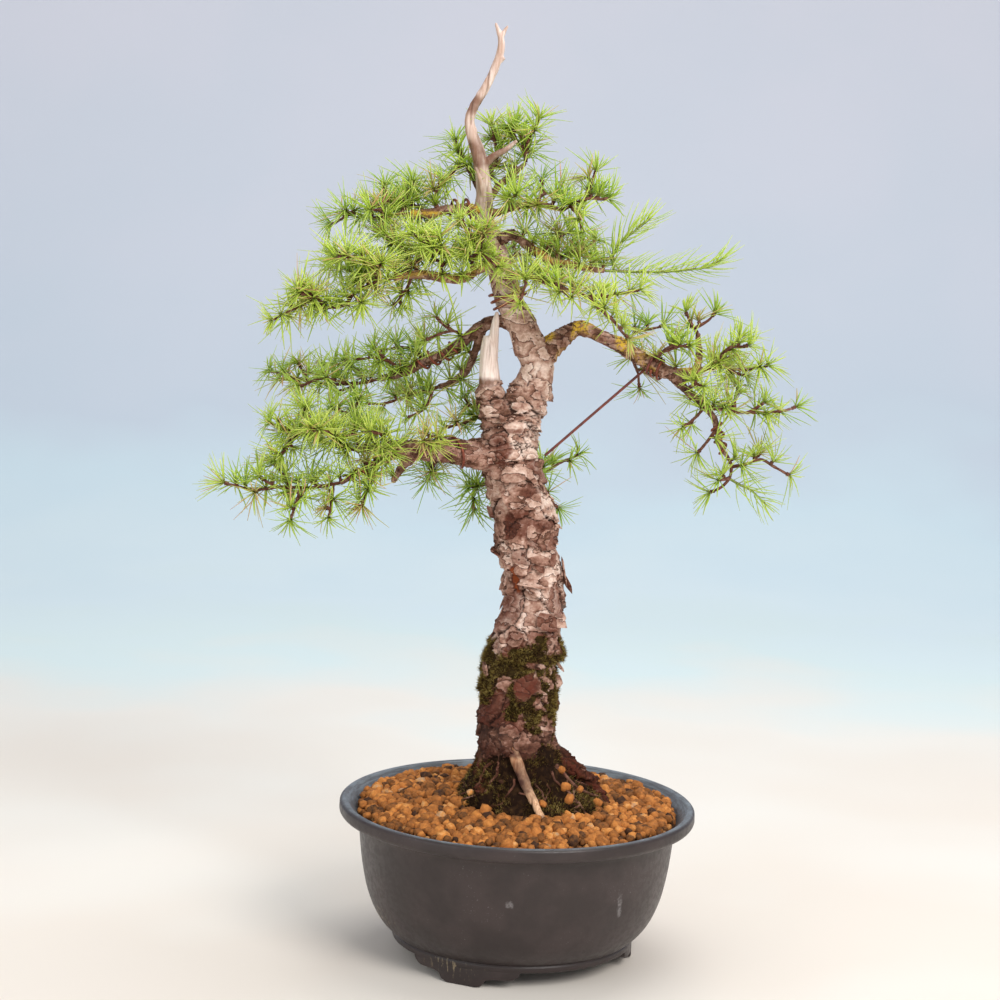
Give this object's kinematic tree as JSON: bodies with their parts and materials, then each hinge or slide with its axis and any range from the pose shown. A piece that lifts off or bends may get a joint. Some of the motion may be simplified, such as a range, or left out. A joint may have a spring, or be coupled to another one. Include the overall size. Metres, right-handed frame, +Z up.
{
  "type": "european larch bonsai",
  "caption": "European larch bonsai: a leaning trunk with a bleached dead top, wired branches and sprays of needles, in a round footed plastic pot filled with clay granules.",
  "frame": {"origin": "table height under the pot's feet, at the middle of the whole tree's box in plan", "axes": "+Z up; +X to the right and +Y to the back, seen from the tree's front, which faces -Y"},
  "size_m": [0.3828, 0.23, 0.5963],
  "materials": {
    "pot_plastic": "satin",
    "akadama": "matte",
    "larch_wood": "matte",
    "training_wire": "satin",
    "larch_needles": "matte"
  },
  "bodies": {
    "root": {"guy_wire": "training_wire", "needles_apex_left": "larch_needles", "needles_apex_middle": "larch_needles", "needles_apex_right": "larch_needles", "needles_back_low": "larch_needles", "needles_back_upper": "larch_needles", "needles_left_low_back": "larch_needles", "needles_left_low_front_inner": "larch_needles", "needles_left_low_front_outer": "larch_needles", "needles_left_low_outer": "larch_needles", "needles_left_low_star": "larch_needles", "needles_left_low_under": "larch_needles", "needles_left_low_upper": "larch_needles", "needles_left_middle_back": "larch_needles", "needles_left_middle_front": "larch_needles", "needles_left_middle_inner": "larch_needles", "needles_left_middle_low": "larch_needles", "needles_left_middle_outer": "larch_needles", "needles_left_top_back": "larch_needles", "needles_left_top_inner": "larch_needles", "needles_left_top_outer": "larch_needles", "needles_left_trunk": "larch_needles", "needles_left_trunk_low": "larch_needles", "needles_left_upper_back": "larch_needles", "needles_left_upper_front": "larch_needles", "needles_left_upper_inner": "larch_needles", "needles_left_upper_outer": "larch_needles", "needles_left_upper_under": "larch_needles", "needles_right_low_outer": "larch_needles", "needles_right_main_back": "larch_needles", "needles_right_main_front": "larch_needles", "needles_right_main_outer": "larch_needles", "needles_right_main_peg": "larch_needles", "needles_right_main_under": "larch_needles", "needles_right_pendant_end": "larch_needles", "needles_right_pendant_left": "larch_needles", "needles_right_pendant_side": "larch_needles", "needles_right_pendant_star": "larch_needles", "needles_right_second_back": "larch_needles", "needles_right_second_inner": "larch_needles", "needles_right_second_low_front": "larch_needles", "needles_right_second_low_inner": "larch_needles", "needles_right_second_low_outer": "larch_needles", "needles_right_second_middle": "larch_needles", "needles_right_second_shoot": "larch_needles", "needles_right_top_back": "larch_needles", "needles_right_top_inner": "larch_needles", "needles_right_top_outer": "larch_needles", "pot": "pot_plastic", "soil": "akadama", "tree": "larch_wood", "wire_leader": "training_wire", "wire_left_low": "training_wire", "wire_left_low_front": "training_wire", "wire_left_middle": "training_wire", "wire_left_top": "training_wire", "wire_right_main": "training_wire", "wire_right_pendant": "training_wire"}
  },
  "joints": []
}
